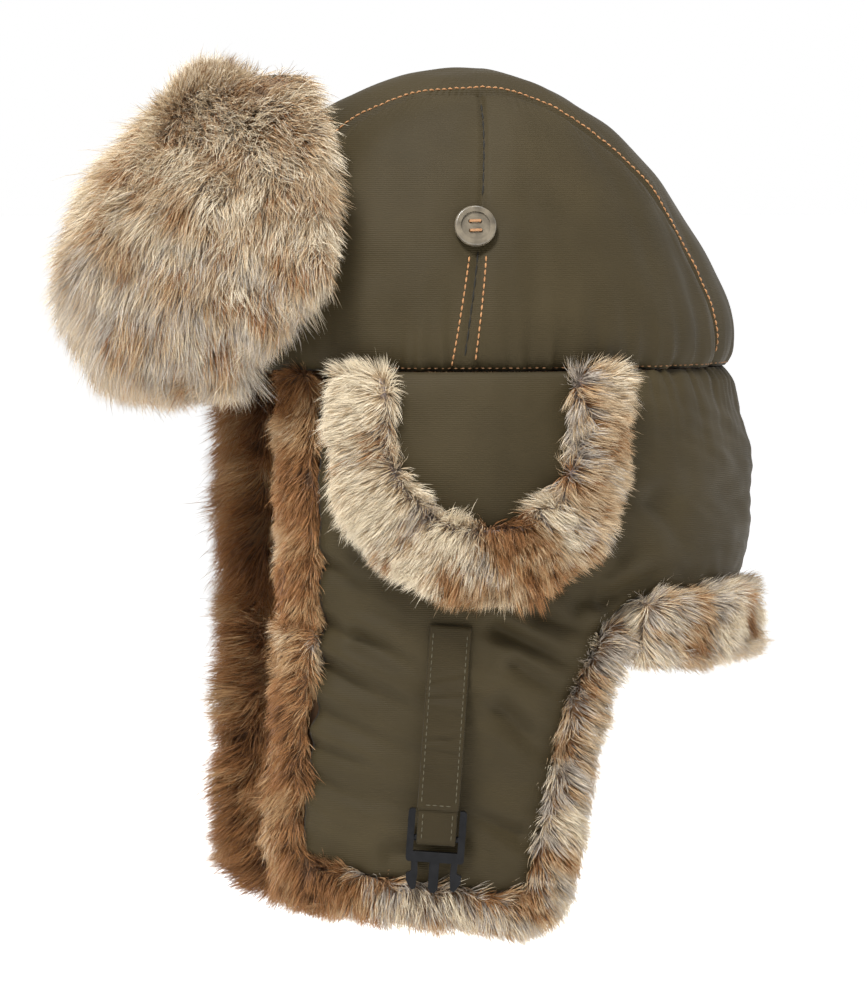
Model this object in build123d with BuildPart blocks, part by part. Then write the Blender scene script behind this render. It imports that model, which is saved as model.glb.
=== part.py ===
"""Padded trapper hat with a fur front flap, two folding ear flaps and two buttoned ear covers.

Millimetres.  +Z is up, the wearer faces -Y, and the wearer's left is +X.
The origin is the centre of the head opening, level with the brow seam.
"""
from build123d import *
import math
import os

# ---- driving dimensions -----------------------------------------------------------------
SEAM_GAP = 0.2               # between neighbouring layers and panels of one body
SWING_GAP = 0.4              # between bodies that move on each other
REACH = 300.0                # longer than any part of the hat, for cutting outlines through it

# crown
CROWN_HEIGHT = 135.0
CROWN_HALF_WIDTH = 93.0
CROWN_BACK = 113.5
CROWN_FRONT = 122.0
CROWN_SIDE_POWER = 2.1       # 2 is an ellipse in side view, more is squarer
CROWN_BACK_POWER = 1.75
CROWN_FRONT_POWER = 2.3
CROWN_RINGS = (0, 25, 48, 67, 80)   # how far up the arc each ring stands, in degrees
SHELL_THICKNESS = 1.0
CROWN_WADDING = 6.0
CROWN_LINING = 1.2
STRIP_HALF_WIDTH = 37.0      # half width of the front-to-back centre panel at the middle
STRIP_TAPER = 0.08           # how much wider it gets per millimetre towards the back
SIDE_SEAM_TOP = (-9.0, 124.0)
SIDE_SEAM_FOOT = (-28.5, 0.0)

# skirt, the band and the ear flaps: height, half width, back and front reach
SKIRT_RINGS = (
    (12, 94.0, 112.5, 121.0),
    (-50, 100.0, 118.0, 125.0),
    (-112, 100.0, 118.0, 126.0),
    (-265, 94.0, 110.0, 125.0),
)
SKIRT_WADDING = 7.6
SKIRT_FUR = 8.0
FOLD_HEIGHT = -112.5         # level at which an ear flap folds up
BAND_FRONT = -90.5           # front edge of the fabric, and of the fur roll beside it
BAND_ROLL_FRONT = -101.0
FACE_HALF_WIDTH = 44.0       # the fur edges beside the face stop this far from the middle
NECK_EDGE = -102.6
NECK_TRIM_BOTTOM = -128.0
NECK_TRIM_PROUD = 7.0
NECK_TRIM_START = 54.0
SHARP = 0.1                  # rounding of a corner that is left sharp
EAR_FLAP_FOOT = ((-98.0, -221.0), (2.5, -235.5), (20.0, -148.0))
EAR_FLAP_RADII = (14.0, 10.0, 40.0)
EAR_FLAP_REAR = 38.5
HEM_FOOT = ((-108.5, -238.0), (16.0, -251.5), (34.0, -150.0))
HEM_RADII = (28.0, 24.0, 40.0)
HEM_REAR = 50.0

# front flap: height, half width and front reach of its outer face
FLAP_RINGS = (
    (-14, 86.0, 138.0),
    (35, 112.0, 187.0),
    (92, 108.0, 168.0),
    (140, 84.0, 126.0),
)
FLAP_TOP = 133.0
FLAP_FOOT = -6.0
FLAP_REAR = -90.0            # the flap's ends stop here, and slope forward below FLAP_CUT_TOP
FLAP_CUT_TOP = 46.0
FLAP_CUT_BOTTOM = 3.0
FLAP_CUT_FRONT = -124.6
FLAP_FUR = 18.0
FLAP_WADDING = 12.0
FLAP_CROWN_GAP = 3.0

# ear covers
COVER_MIDDLE = -21.0
COVER_PANEL_HALF = 42.0
COVER_PANEL_STRAIGHT = 27.0
COVER_TRIM_HALF = 61.0
COVER_TRIM_STRAIGHT = 36.0
COVER_STAND_OFF = 1.0
COVER_PANEL_THICKNESS = 1.4
COVER_TRIM_DEPTH = 9.0

# buttons
BUTTON_SEAT = (82.6, -21.0, 64.0)
BUTTON_NORMAL = (0.942, -0.091, 0.326)
BUTTON_RADIUS = 9.4
BUTTON_THICKNESS = 3.2
BUTTON_DISH_RADIUS = 6.6
BUTTON_DISH_DEPTH = 1.0
BUTTON_HOLE_RADIUS = 0.9
BUTTON_HOLE_PITCH = 4.4
THREAD_RADIUS = 0.55

# strap and buckle, in the strap's own plane: across, up, and out from the ear flap
STRAP_SEAT = (97.7, -35.2, -114.5)
STRAP_NORMAL = (0.976, -0.212, -0.027)
STRAP_ACROSS = (0.209, 0.975, -0.070)
STRAP_WIDTH = 18.6
STRAP_THICKNESS = 1.2
STRAP_SEWN_TOP = 2.0
STRAP_SEWN_BOTTOM = -12.0
STRAP_SEWN_HEIGHT = 0.3
STRAP_RISE_END = -38.0       # where the strap has risen to the height of the loop's outer layer
STRAP_RISE_SETBACK = 0.4
STRAP_RETURN_TOP = -52.0
TAPE_THICKNESS = 1.4
TAPE_TOP = -54.0
TAPE_BOTTOM = -77.0
LOOP_BAR_RADIUS = 1.5
LOOP_BAR_DROP = 93.0         # from the strap's sewn end down to the bar that it loops round
BUCKLE_MIDDLE = 4.9          # height of the buckle's middle plane above the strap's plane
BUCKLE_HALF_WIDTH = 13.0
BUCKLE_WINDOW_HALF = 9.9
BUCKLE_TOP = -80.0
BUCKLE_WINDOW_BOTTOM = -99.0
BUCKLE_CROSS_BOTTOM = -103.6
BUCKLE_CORNER = 1.6
RAIL_THICKNESS = 4.0
PRONG_THICKNESS = 3.6
MIDDLE_PRONG = ((-2.2, -102.6), (2.2, -102.6), (2.2, -115.4), (0.8, -117.2), (-0.8, -117.2),
                (-2.2, -115.4))
SIDE_PRONG = ((7.6, -102.6), (10.4, -102.6), (10.2, -108.0), (12.4, -109.2), (12.2, -112.4),
              (9.6, -116.4), (7.8, -115.8), (7.2, -109.5))
SOCKET_BOTTOM = -126.0
SOCKET_THICKNESS = 8.2
SOCKET_WALL = 1.3
SOCKET_CORNER = 2.0
SOCKET_HALF_HOLLOW = 10.5
SOCKET_ROOF = 3.0            # solid depth between the cross piece and the socket's hollow
SOCKET_SLOT_MIDDLE = -113.0  # side slots that the prongs' hooks spring out into
SOCKET_SLOT_HEIGHT = 8.0
CUT_PAST = 5.0               # how far an open-ended cut runs past the piece

os.makedirs("parts", exist_ok=True)


def finish_piece(builder, name):
    """Name one finished piece and write it."""
    builder.part.label = name
    export_step(builder.part, f"parts/{name}.step")


def finish_pair(left_piece, name):
    """Write a piece for the wearer's left and its mirror image for the right."""
    with BuildPart() as left:
        add(left_piece)
    finish_piece(left, f"{name}_left")
    with BuildPart() as right:
        mirror(left_piece, about=Plane.YZ)
    finish_piece(right, f"{name}_right")


def oval_loft(rings, tip=None):
    """Smooth solid through level ovals, each (height, half width, back reach, front reach)."""
    with BuildPart() as body:
        for height, half_width, back, front in rings:
            with BuildSketch(Plane.XY.offset(height)):
                with Locations((0, (back - front) / 2)):
                    Ellipse(half_width, (back + front) / 2)
        if tip is None:
            loft()
        else:
            loft(sections=body.pending_faces + [Vertex(0, (CROWN_BACK - CROWN_FRONT) / 2, tip)])
    return body.part


def taper(level, power):
    """Share of the full reach that is left at a height, given as a share of the full height."""
    return (1 - level ** power) ** (1 / power)


def crown_body(inset):
    """The crown as a solid dome, moved in from its outer face by the inset."""
    rings = []
    for angle in CROWN_RINGS:
        level = math.sin(math.radians(angle))
        rings.append((
            level * (CROWN_HEIGHT - inset),
            (CROWN_HALF_WIDTH - inset) * taper(level, CROWN_SIDE_POWER),
            (CROWN_BACK - inset) * taper(level, CROWN_BACK_POWER),
            (CROWN_FRONT - inset) * taper(level, CROWN_FRONT_POWER),
        ))
    return oval_loft(rings, tip=CROWN_HEIGHT - inset)


def skirt_body(inset):
    """The space inside the skirt as a solid, moved in from its outer face by the inset."""
    return oval_loft([
        (height, half_width - inset, back - inset, front - inset)
        for height, half_width, back, front in SKIRT_RINGS
    ])


def front_flap_body(inset):
    """The standing front flap's outer face as a solid, moved in by the inset."""
    return oval_loft([
        (height, half_width - inset, front - inset, front - inset)
        for height, half_width, front in FLAP_RINGS
    ])


def wall(outer, inner):
    """What lies between two nested solids."""
    with BuildPart() as layer:
        add(outer)
        add(inner, mode=Mode.SUBTRACT)
    return layer.part


def side_prism(corners, radii=None, start=0.0, both_sides=False):
    """A side outline, as (y, z) corners, run out to the wearer's left or across both sides."""
    with BuildPart() as prism:
        with BuildSketch(Plane.YZ.offset(start)):
            with BuildLine():
                if radii is None:
                    Polyline(*corners, close=True)
                else:
                    FilletPolyline(*corners, radius=radii, close=True)
            make_face()
        extrude(amount=REACH, both=both_sides)
    return prism.part


def common(first, *others):
    """What several solids share."""
    with BuildPart() as shared:
        add(first)
        for other in others:
            add(other, mode=Mode.INTERSECT)
    return shared.part


def u_prism(half_width, straight, top):
    """The ear cover's U outline: straight sides, then a half circle, run across the left."""
    with BuildPart() as prism:
        with BuildSketch(Plane.YZ):
            with BuildLine():
                Polyline(
                    (COVER_MIDDLE - half_width, -straight),
                    (COVER_MIDDLE - half_width, top),
                    (COVER_MIDDLE + half_width, top),
                    (COVER_MIDDLE + half_width, -straight),
                )
                ThreePointArc(
                    (COVER_MIDDLE + half_width, -straight),
                    (COVER_MIDDLE, -straight - half_width),
                    (COVER_MIDDLE - half_width, -straight),
                )
            make_face()
        extrude(amount=REACH)
    return prism.part


# ---- crown: five fabric panels, wadding and lining ------------------------------------------
crown_face = crown_body(0)
crown_under_shell = crown_body(SHELL_THICKNESS)
crown_skin = wall(crown_face, crown_under_shell)


def strip_plan(clearance):
    """The centre panel's plan outline as a tall prism, widened by a clearance."""
    with BuildPart() as prism:
        with BuildSketch(Plane.XY.offset(-1)):
            with BuildLine():
                half_widths = [STRIP_HALF_WIDTH + STRIP_TAPER * y + clearance for y in (-REACH, REACH)]
                Polyline(
                    (-half_widths[0], -REACH), (half_widths[0], -REACH),
                    (half_widths[1], REACH), (-half_widths[1], REACH),
                    close=True,
                )
            make_face()
        extrude(amount=CROWN_HEIGHT + 2)
    return prism.part


with BuildPart() as crown_center_panel:
    add(crown_skin)
    add(strip_plan(0), mode=Mode.INTERSECT)
finish_piece(crown_center_panel, "crown_center_panel")

seam_lean = (SIDE_SEAM_TOP[0] - SIDE_SEAM_FOOT[0]) / (SIDE_SEAM_TOP[1] - SIDE_SEAM_FOOT[1])
seam_low = SIDE_SEAM_FOOT[0] - seam_lean
seam_high = SIDE_SEAM_FOOT[0] + seam_lean * (CROWN_HEIGHT + 1)
side_skin = wall(crown_skin, strip_plan(SEAM_GAP))
for name, far_y, clearance in (("front", -REACH, -SEAM_GAP / 2), ("rear", REACH, SEAM_GAP / 2)):
    side_half = side_prism([
        (seam_low + clearance, -1), (seam_high + clearance, CROWN_HEIGHT + 1),
        (far_y, CROWN_HEIGHT + 1), (far_y, -1),
    ])
    finish_pair(common(side_skin, side_half), f"crown_side_{name}_panel")

wadding_depth = SHELL_THICKNESS + SEAM_GAP
lining_depth = wadding_depth + CROWN_WADDING + SEAM_GAP
with BuildPart() as crown_wadding:
    add(wall(crown_body(wadding_depth), crown_body(wadding_depth + CROWN_WADDING)))
finish_piece(crown_wadding, "crown_wadding")

with BuildPart() as crown_lining:
    add(wall(crown_body(lining_depth), crown_body(lining_depth + CROWN_LINING)))
finish_piece(crown_lining, "crown_lining")

# ---- skirt: shell, wadding and fur lining, for the band and for the two ear flaps -----------
skirt_wadding_depth = SHELL_THICKNESS + SEAM_GAP
skirt_fur_depth = skirt_wadding_depth + SKIRT_WADDING + SEAM_GAP
skirt_depth = skirt_fur_depth + SKIRT_FUR
skirt_face = skirt_body(0)
skirt_inside = skirt_body(skirt_depth)
skirt_shell = wall(skirt_face, skirt_body(SHELL_THICKNESS))
skirt_wadding = wall(skirt_body(skirt_wadding_depth), skirt_body(skirt_wadding_depth + SKIRT_WADDING))
skirt_fur = wall(skirt_body(skirt_fur_depth), skirt_inside)
skirt_full = wall(skirt_face, skirt_inside)

band_outline = side_prism([
    (BAND_FRONT, -SEAM_GAP), (BAND_FRONT, FOLD_HEIGHT + SWING_GAP),
    (37.0, FOLD_HEIGHT + SWING_GAP), (50.0, NECK_EDGE), (REACH, NECK_EDGE), (REACH, -SEAM_GAP),
], both_sides=True)
for name, layer in (
    ("band_shell", skirt_shell), ("band_wadding", skirt_wadding), ("band_fur_lining", skirt_fur),
):
    with BuildPart() as band_layer:
        add(common(layer, band_outline))
    finish_piece(band_layer, name)

band_roll_outline = side_prism([
    (BAND_ROLL_FRONT, -2.0), (BAND_ROLL_FRONT, FOLD_HEIGHT + SWING_GAP),
    (BAND_FRONT - SEAM_GAP, FOLD_HEIGHT + SWING_GAP), (BAND_FRONT - SEAM_GAP, -2.0),
], start=FACE_HALF_WIDTH)
finish_pair(common(skirt_full, band_roll_outline), "band_front_fur_roll")

neck_outline = side_prism([
    (NECK_TRIM_START, NECK_EDGE - SEAM_GAP), (NECK_TRIM_START, NECK_TRIM_BOTTOM),
    (REACH, NECK_TRIM_BOTTOM), (REACH, NECK_EDGE - SEAM_GAP),
], both_sides=True)
with BuildPart() as neck_fur_trim:
    add(common(wall(skirt_body(-NECK_TRIM_PROUD), skirt_inside), neck_outline))
finish_piece(neck_fur_trim, "neck_fur_trim")

flap_cut = FOLD_HEIGHT - SWING_GAP
ear_flap_corners = ((BAND_FRONT, flap_cut), *EAR_FLAP_FOOT, (EAR_FLAP_REAR, flap_cut))
ear_flap_outline = side_prism(ear_flap_corners, (SHARP, *EAR_FLAP_RADII, SHARP))
ear_flap_hem_corners = ((BAND_ROLL_FRONT, flap_cut), *HEM_FOOT, (HEM_REAR, flap_cut))
ear_flap_hem_radii = (SHARP, *HEM_RADII, SHARP)
ear_flap_hem_outline = side_prism(ear_flap_hem_corners, ear_flap_hem_radii, start=FACE_HALF_WIDTH)
for name, layer in (
    ("ear_flap_shell", skirt_shell), ("ear_flap_wadding", skirt_wadding),
    ("ear_flap_fur_lining", skirt_fur),
):
    finish_pair(common(layer, ear_flap_outline), name)
ear_flap_hem = wall(ear_flap_hem_outline, ear_flap_outline)
finish_pair(common(ear_flap_hem, skirt_full), "ear_flap_fur_trim")

# ---- front flap: fur face, wadding and fabric backing ---------------------------------------
front_flap_outline = side_prism([
    (FLAP_REAR, FLAP_TOP), (FLAP_REAR, FLAP_CUT_TOP), (FLAP_CUT_FRONT, FLAP_CUT_BOTTOM),
    (FLAP_CUT_FRONT, FLAP_FOOT), (-REACH, FLAP_FOOT), (-REACH, FLAP_TOP),
], both_sides=True)
crown_clearance = crown_body(-FLAP_CROWN_GAP)
flap_depth = 0.0
for name, thickness in (
    ("front_flap_fur", FLAP_FUR), ("front_flap_wadding", FLAP_WADDING),
    ("front_flap_backing", SHELL_THICKNESS),
):
    sheet = wall(front_flap_body(flap_depth), front_flap_body(flap_depth + thickness))
    with BuildPart() as flap_layer:
        add(common(sheet, front_flap_outline))
        add(crown_clearance, mode=Mode.SUBTRACT)
    finish_piece(flap_layer, name)
    flap_depth += thickness + SEAM_GAP

# ---- ear covers: fabric panel and fur trim, outside the band ---------------------------------
cover_back = skirt_body(-COVER_STAND_OFF)
cover_face = skirt_body(-COVER_STAND_OFF - COVER_PANEL_THICKNESS)
cover_fur_face = skirt_body(-COVER_STAND_OFF - COVER_TRIM_DEPTH)
panel_outline = u_prism(COVER_PANEL_HALF, COVER_PANEL_STRAIGHT, -SWING_GAP)
finish_pair(common(wall(cover_face, cover_back), panel_outline), "ear_cover_panel")
trim_outline = wall(
    u_prism(COVER_TRIM_HALF, COVER_TRIM_STRAIGHT, -1.4),
    u_prism(COVER_PANEL_HALF + SEAM_GAP, COVER_PANEL_STRAIGHT, 0),
)
finish_pair(common(wall(cover_fur_face, cover_back), trim_outline), "ear_cover_fur_trim")

# ---- buttons on the crown --------------------------------------------------------------------
button_plane = Plane(origin=BUTTON_SEAT, x_dir=(0, 1, 0), z_dir=BUTTON_NORMAL)
with BuildPart() as button:
    with BuildSketch(button_plane.offset(SWING_GAP)):
        Circle(BUTTON_RADIUS)
    extrude(amount=BUTTON_THICKNESS)
    fillet(button.edges().filter_by(GeomType.CIRCLE), radius=1.0)
    with BuildSketch(button_plane.offset(SWING_GAP + BUTTON_THICKNESS)):
        Circle(BUTTON_DISH_RADIUS)
    extrude(amount=-BUTTON_DISH_DEPTH, mode=Mode.SUBTRACT)
    with BuildSketch(button_plane):
        with GridLocations(BUTTON_HOLE_PITCH, BUTTON_HOLE_PITCH, 2, 2):
            Circle(BUTTON_HOLE_RADIUS)
    extrude(amount=BUTTON_THICKNESS + 1, mode=Mode.SUBTRACT)
with BuildPart() as crown_buttons:
    add(button.part)
    mirror(button.part, about=Plane.YZ)
finish_piece(crown_buttons, "crown_buttons")

thread_top = SWING_GAP + BUTTON_THICKNESS - BUTTON_DISH_DEPTH
with BuildPart() as thread:
    for row in (-BUTTON_HOLE_PITCH / 2, BUTTON_HOLE_PITCH / 2):
        with BuildSketch(button_plane.offset(SWING_GAP / 2)):
            with Locations((-BUTTON_HOLE_PITCH / 2, row), (BUTTON_HOLE_PITCH / 2, row)):
                Circle(THREAD_RADIUS)
        extrude(amount=thread_top)
        with BuildSketch(button_plane.offset(thread_top + SWING_GAP / 2)):
            with Locations((0, row)):
                SlotCenterToCenter(BUTTON_HOLE_PITCH, 2 * THREAD_RADIUS)
        extrude(amount=2 * THREAD_RADIUS - SWING_GAP)
with BuildPart() as button_threads:
    add(thread.part)
    mirror(thread.part, about=Plane.YZ)
finish_piece(button_threads, "button_threads")

# ---- straps with their hook-and-loop tapes ---------------------------------------------------
strap_plane = Plane(origin=STRAP_SEAT, x_dir=STRAP_ACROSS, z_dir=STRAP_NORMAL)
strap_side = Plane(origin=STRAP_SEAT, x_dir=strap_plane.y_dir, z_dir=strap_plane.x_dir)
loop_radius = LOOP_BAR_RADIUS + SWING_GAP
layer_high = BUCKLE_MIDDLE + loop_radius
layer_low = BUCKLE_MIDDLE - loop_radius


with BuildPart() as strap:
    with BuildSketch(strap_side):
        with BuildLine():
            turn = -LOOP_BAR_DROP
            Polyline(
                (turn, layer_high + STRAP_THICKNESS), (STRAP_RISE_END, layer_high + STRAP_THICKNESS),
                (STRAP_SEWN_BOTTOM, STRAP_SEWN_HEIGHT + STRAP_THICKNESS),
                (STRAP_SEWN_TOP, STRAP_SEWN_HEIGHT + STRAP_THICKNESS),
                (STRAP_SEWN_TOP, STRAP_SEWN_HEIGHT),
                (STRAP_SEWN_BOTTOM + STRAP_RISE_SETBACK, STRAP_SEWN_HEIGHT),
                (STRAP_RISE_END + STRAP_RISE_SETBACK, layer_high), (turn, layer_high),
            )
            ThreePointArc((turn, layer_high), (turn - loop_radius, BUCKLE_MIDDLE), (turn, layer_low))
            Polyline(
                (turn, layer_low), (STRAP_RETURN_TOP, layer_low),
                (STRAP_RETURN_TOP, layer_low - STRAP_THICKNESS),
                (turn, layer_low - STRAP_THICKNESS),
            )
            ThreePointArc(
                (turn, layer_low - STRAP_THICKNESS),
                (turn - loop_radius - STRAP_THICKNESS, BUCKLE_MIDDLE),
                (turn, layer_high + STRAP_THICKNESS),
            )
        make_face()
    extrude(amount=STRAP_WIDTH / 2, both=True)
finish_pair(strap.part, "strap")

with BuildPart() as tape:
    with BuildSketch(strap_plane.offset(layer_low + SEAM_GAP / 4)):
        with Locations((0, (TAPE_TOP + TAPE_BOTTOM) / 2)):
            Rectangle(STRAP_WIDTH - 1.0, TAPE_TOP - TAPE_BOTTOM)
    extrude(amount=TAPE_THICKNESS)
finish_pair(tape.part, "strap_hook_tape")

# ---- side-release buckle: the pronged half on the left, the socket half on the right ---------
rail_plane = strap_plane.offset(BUCKLE_MIDDLE - RAIL_THICKNESS / 2)
window_top = BUCKLE_TOP + CUT_PAST
with BuildPart() as buckle_frame:
    with BuildSketch(rail_plane):
        with Locations((0, (BUCKLE_TOP + BUCKLE_CROSS_BOTTOM) / 2)):
            RectangleRounded(2 * BUCKLE_HALF_WIDTH, BUCKLE_TOP - BUCKLE_CROSS_BOTTOM, BUCKLE_CORNER)
        with Locations((0, (window_top + BUCKLE_WINDOW_BOTTOM) / 2)):
            Rectangle(2 * BUCKLE_WINDOW_HALF, window_top - BUCKLE_WINDOW_BOTTOM, mode=Mode.SUBTRACT)
    extrude(amount=RAIL_THICKNESS)
    bar_plane = Plane(
        origin=strap_plane.from_local_coords((-BUCKLE_WINDOW_HALF - 0.5, -LOOP_BAR_DROP, BUCKLE_MIDDLE)),
        z_dir=strap_plane.x_dir,
    )
    with BuildSketch(bar_plane):
        Circle(LOOP_BAR_RADIUS)
    extrude(amount=2 * BUCKLE_WINDOW_HALF + 1.0)

with BuildPart() as buckle_male_left:
    add(buckle_frame.part)
    with BuildSketch(strap_plane.offset(BUCKLE_MIDDLE - PRONG_THICKNESS / 2)):
        with BuildLine():
            Polyline(*MIDDLE_PRONG, close=True)
        make_face()
        for side in (-1, 1):
            with BuildLine():
                Polyline(*[(side * across, up) for across, up in SIDE_PRONG], close=True)
            make_face()
    extrude(amount=PRONG_THICKNESS)
finish_piece(buckle_male_left, "buckle_male_left")

with BuildPart() as socket_left:
    add(buckle_frame.part)
    with BuildSketch(strap_plane.offset(BUCKLE_MIDDLE - SOCKET_THICKNESS / 2)):
        with Locations((0, (BUCKLE_CROSS_BOTTOM + SOCKET_BOTTOM) / 2)):
            RectangleRounded(
                2 * BUCKLE_HALF_WIDTH, BUCKLE_CROSS_BOTTOM - SOCKET_BOTTOM, SOCKET_CORNER
            )
    extrude(amount=SOCKET_THICKNESS)
    hollow_top = BUCKLE_CROSS_BOTTOM - SOCKET_ROOF
    hollow_bottom = SOCKET_BOTTOM - CUT_PAST
    with BuildSketch(strap_plane.offset(BUCKLE_MIDDLE - SOCKET_THICKNESS / 2 + SOCKET_WALL)):
        with Locations((0, (hollow_top + hollow_bottom) / 2)):
            Rectangle(2 * SOCKET_HALF_HOLLOW, hollow_top - hollow_bottom)
    extrude(amount=SOCKET_THICKNESS - 2 * SOCKET_WALL, mode=Mode.SUBTRACT)
    with BuildSketch(strap_plane.offset(BUCKLE_MIDDLE - PRONG_THICKNESS / 2)):
        with Locations((0, SOCKET_SLOT_MIDDLE)):
            Rectangle(2 * (BUCKLE_HALF_WIDTH + CUT_PAST), SOCKET_SLOT_HEIGHT)
    extrude(amount=PRONG_THICKNESS, mode=Mode.SUBTRACT)
with BuildPart() as buckle_female_right:
    mirror(socket_left.part, about=Plane.YZ)
finish_piece(buckle_female_right, "buckle_female_right")
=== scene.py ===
"""Trapper hat: padded olive nylon, long rabbit-like fur, topstitching, strap and side-release buckle.

Metres, in the frame's own axes: +Z up, the wearer faces -Y, the wearer's left is +X.
"""
import math

import bmesh
import bpy
import numpy as np
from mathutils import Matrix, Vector, geometry, kdtree, noise
from mathutils.bvhtree import BVHTree


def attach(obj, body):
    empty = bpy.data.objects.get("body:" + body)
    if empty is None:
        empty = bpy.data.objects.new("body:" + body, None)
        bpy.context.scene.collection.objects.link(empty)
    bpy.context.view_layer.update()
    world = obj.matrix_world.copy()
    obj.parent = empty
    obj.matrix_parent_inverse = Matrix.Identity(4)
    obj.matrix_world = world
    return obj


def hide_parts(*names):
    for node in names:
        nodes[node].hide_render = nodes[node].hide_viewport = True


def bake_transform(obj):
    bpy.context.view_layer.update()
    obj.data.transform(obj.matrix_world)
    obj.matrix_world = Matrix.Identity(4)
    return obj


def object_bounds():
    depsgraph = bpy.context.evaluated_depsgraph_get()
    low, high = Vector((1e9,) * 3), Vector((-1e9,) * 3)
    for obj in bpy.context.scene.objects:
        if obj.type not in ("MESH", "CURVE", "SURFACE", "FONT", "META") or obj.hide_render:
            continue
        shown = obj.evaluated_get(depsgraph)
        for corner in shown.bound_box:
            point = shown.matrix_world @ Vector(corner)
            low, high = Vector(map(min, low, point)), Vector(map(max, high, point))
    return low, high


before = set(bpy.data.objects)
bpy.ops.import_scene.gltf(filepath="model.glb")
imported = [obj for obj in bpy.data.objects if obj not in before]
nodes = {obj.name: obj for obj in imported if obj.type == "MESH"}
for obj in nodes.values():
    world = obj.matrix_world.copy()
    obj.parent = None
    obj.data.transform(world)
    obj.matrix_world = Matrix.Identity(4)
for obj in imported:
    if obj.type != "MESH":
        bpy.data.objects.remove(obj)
cad_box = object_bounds()
MM = 0.001
SIDES = (("left", 1), ("right", -1))
NOISE_SEED = 4
noise.seed_set(NOISE_SEED)  # unseeded, noise vectors would change with the clock


# ---- camera, light and floor -----------------------------------------------------------------
VIEW_AZIMUTH = math.radians(78)
VIEW_ELEVATION = math.radians(3)
VIEW_DISTANCE = 3.0
VIEW_RIGHT = -21.8 * MM
VIEW_UP = -62.0 * MM
VIEW_NEAR_SIDE = 60 * MM
SENSOR = 36.0
FRAME_HEIGHT = 450 * MM
CAMERA_REACH = 50
LIGHT_TARGET = Vector((0, 0, -0.05))
# Each light: name, place, size and power.
LIGHTS = (
    ("key", (1.1, -0.75, 1.75), 0.5, 62),
    ("top", (0.1, 0.3, 1.8), 0.6, 14),
    ("rim", (0.2, 1.4, 0.7), 1.0, 5),
    ("far_side", (-1.3, -1.2, 0.3), 1.2, 21),
)
# The surround is white up to the first height and dims to its overhead strength at the second.
SKY = {"From Min": 0.16, "From Max": 0.5, "To Min": 1.0, "To Max": 0.3}
FLOOR_HALF = 40.0
FLOOR_HEIGHT = -0.33
FLOOR_PAINT = {"Base Color": (0.9, 0.9, 0.9, 1), "Roughness": 0.9, "Emission Color": (1, 1, 1, 1),
               "Emission Strength": 0.68}


def make_camera():
    """A long lens from the wearer's left, a little in front, at the height of the brow."""
    sin_a, cos_a = math.sin(VIEW_AZIMUTH), math.cos(VIEW_AZIMUTH)
    sin_e, cos_e = math.sin(VIEW_ELEVATION), math.cos(VIEW_ELEVATION)
    towards = Vector((cos_e * sin_a, -cos_e * cos_a, sin_e))
    right = Vector((cos_a, sin_a, 0))
    up = Vector((-sin_e * sin_a, sin_e * cos_a, cos_e))
    data = bpy.data.cameras.new("camera")
    data.sensor_width = SENSOR
    data.lens = SENSOR * VIEW_DISTANCE / FRAME_HEIGHT
    data.clip_end = CAMERA_REACH
    camera = bpy.data.objects.new("camera", data)
    bpy.context.scene.collection.objects.link(camera)
    camera.location = right * VIEW_RIGHT + up * VIEW_UP + towards * (VIEW_DISTANCE + VIEW_NEAR_SIDE)
    camera.rotation_euler = (-towards).to_track_quat("-Z", "Y").to_euler()
    bpy.context.scene.camera = camera


def area_light(name, place, size, power):
    """A soft square light that points at the hat."""
    data = bpy.data.lights.new(name, "AREA")
    data.size = size
    data.energy = power
    light = bpy.data.objects.new(name, data)
    bpy.context.scene.collection.objects.link(light)
    light.location = place
    light.rotation_euler = (LIGHT_TARGET - Vector(place)).to_track_quat("-Z", "Y").to_euler()


def make_stage():
    """Pale floor under the hat and a white surround."""
    world = bpy.data.worlds.new("surround")
    bpy.context.scene.world = world
    world.use_nodes = True
    tree = world.node_tree
    background = tree.nodes["Background"]
    direction = tree.nodes.new("ShaderNodeTexCoord")
    parts = tree.nodes.new("ShaderNodeSeparateXYZ")
    overhead = tree.nodes.new("ShaderNodeMapRange")
    overhead.interpolation_type = "SMOOTHSTEP"
    for socket, value in SKY.items():
        overhead.inputs[socket].default_value = value
    tree.links.new(direction.outputs["Generated"], parts.inputs["Vector"])
    tree.links.new(parts.outputs["Z"], overhead.inputs["Value"])
    tree.links.new(overhead.outputs["Result"], background.inputs["Strength"])
    background.inputs["Color"].default_value = (1, 1, 1, 1)
    bpy.context.scene.view_settings.view_transform = "Standard"
    ends = (-FLOOR_HALF, FLOOR_HALF)
    mesh = grid_mesh("floor", [[(x, y, FLOOR_HEIGHT) for x in ends] for y in ends])
    floor = bpy.data.objects.new("floor", mesh)
    bpy.context.scene.collection.objects.link(floor)
    material = bpy.data.materials.new("floor_paint")
    material.use_nodes = True
    shader = material.node_tree.nodes["Principled BSDF"]
    for socket, value in FLOOR_PAINT.items():
        shader.inputs[socket].default_value = value
    mesh.materials.append(material)
    for light in LIGHTS:
        area_light(*light)


# ---- materials --------------------------------------------------------------------------------
def principled(name, roughness, sheen=0.0, specular=0.5, coat=0.0):
    """A new material and its main shader, with the constants set on the shader's own sockets."""
    material = bpy.data.materials.new(name)
    material.use_nodes = True
    shader = material.node_tree.nodes["Principled BSDF"]
    shader.inputs["Roughness"].default_value = roughness
    shader.inputs["Sheen Weight"].default_value = sheen
    shader.inputs["Specular IOR Level"].default_value = specular
    shader.inputs["Coat Weight"].default_value = coat
    return material, material.node_tree, shader


def texture(tree, coords, kind, scale, detail):
    """A noise or wave texture in the piece's own coordinates."""
    node = tree.nodes.new(kind)
    node.inputs["Scale"].default_value = scale
    node.inputs["Detail"].default_value = detail
    tree.links.new(coords.outputs["Object"], node.inputs["Vector"])
    return node


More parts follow.
